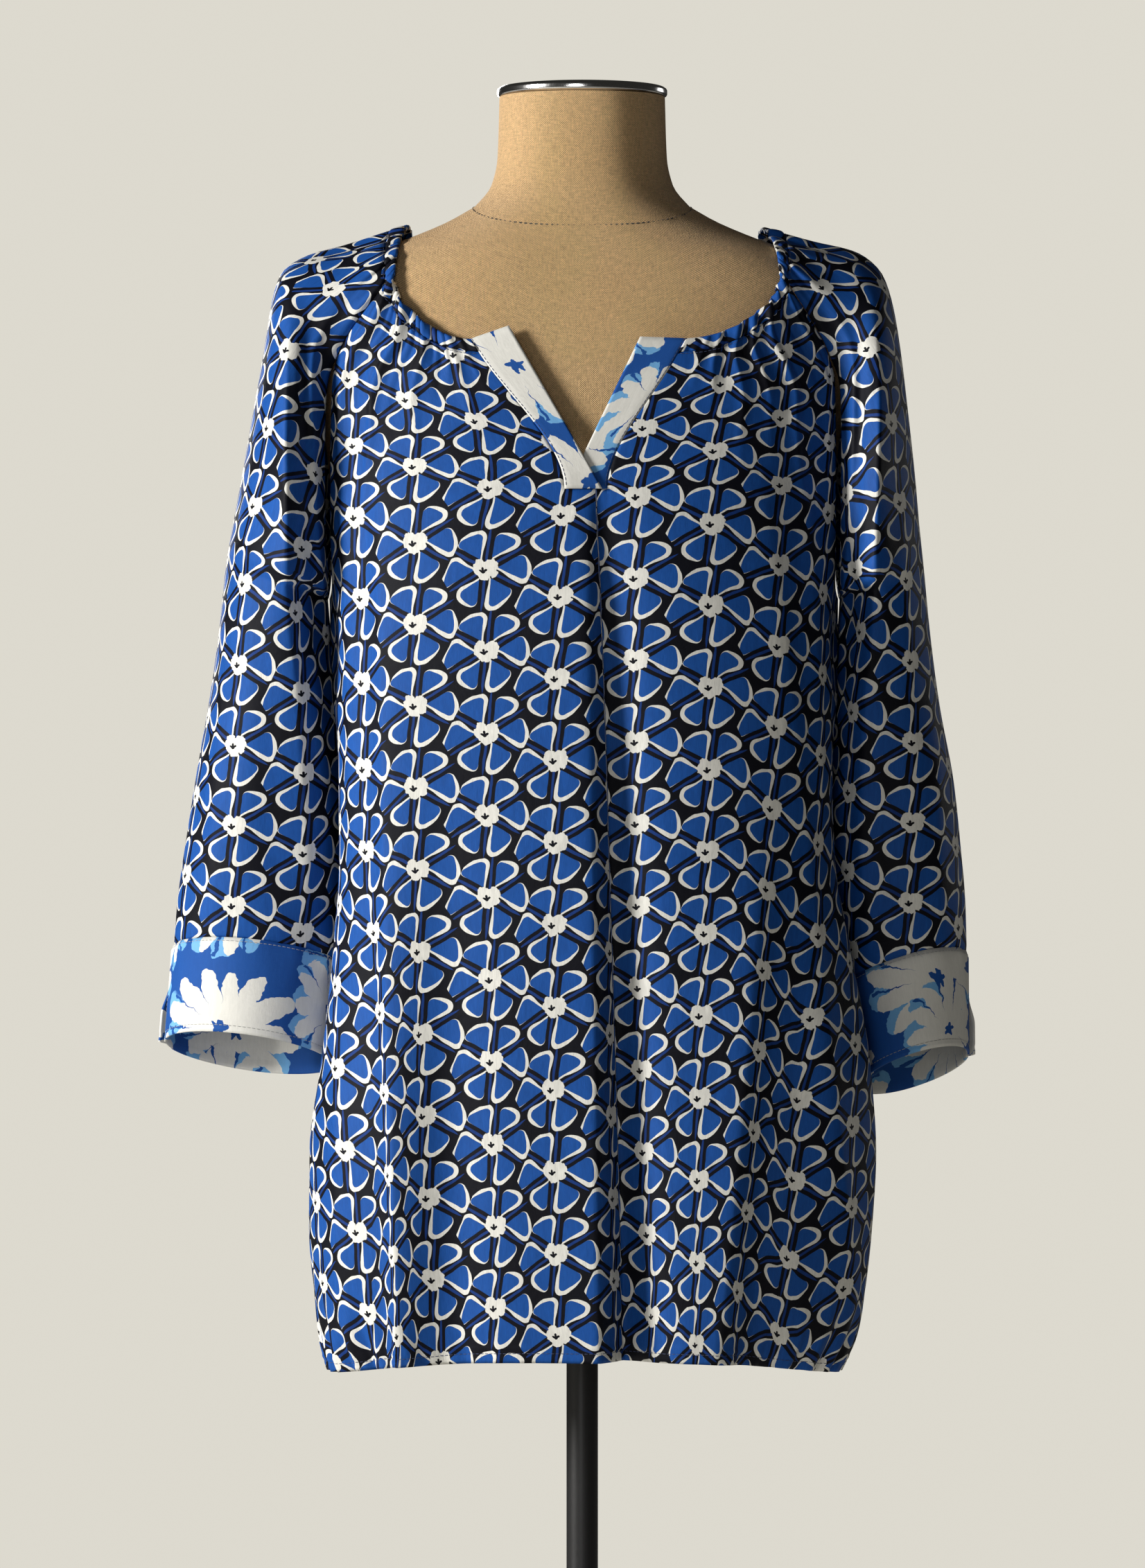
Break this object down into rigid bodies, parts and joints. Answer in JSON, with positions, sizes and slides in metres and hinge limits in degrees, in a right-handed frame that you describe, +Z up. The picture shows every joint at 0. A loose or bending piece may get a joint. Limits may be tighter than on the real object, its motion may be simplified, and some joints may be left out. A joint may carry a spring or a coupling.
{
  "type": "blouse on dress form",
  "caption": "Raglan tunic blouse with V opening, contrast bands and cuffs, filled out by a limbless dress form on a pole stand.",
  "frame": {"origin": "centre of the stand base's underside, on the floor", "axes": "+Z up along the pole, -Y towards the blouse's front, +X to the viewer's right"},
  "size_m": [0.5178, 0.36, 1.4913],
  "materials": {
    "print_cloth": "soft viscose with an all-over flower print in cobalt, off-white and near-black navy",
    "contrast_cloth": "crisp cotton with large white daisies on royal blue",
    "form_linen": "natural linen canvas drawn over the form",
    "form_cap": "polished",
    "stand_metal": "satin black"
  },
  "bodies": {
    "root": {"front": "print_cloth", "back": "print_cloth", "sleeve_left": "print_cloth", "sleeve_right": "print_cloth", "neck_binding": "print_cloth", "cuff_left": "contrast_cloth", "cuff_right": "contrast_cloth", "placket_left": "contrast_cloth", "placket_right": "contrast_cloth", "form_body": "form_linen", "form_cap": "form_cap", "form_pole": "stand_metal", "form_base": "stand_metal", "form_hub": "stand_metal"}
  },
  "joints": []
}
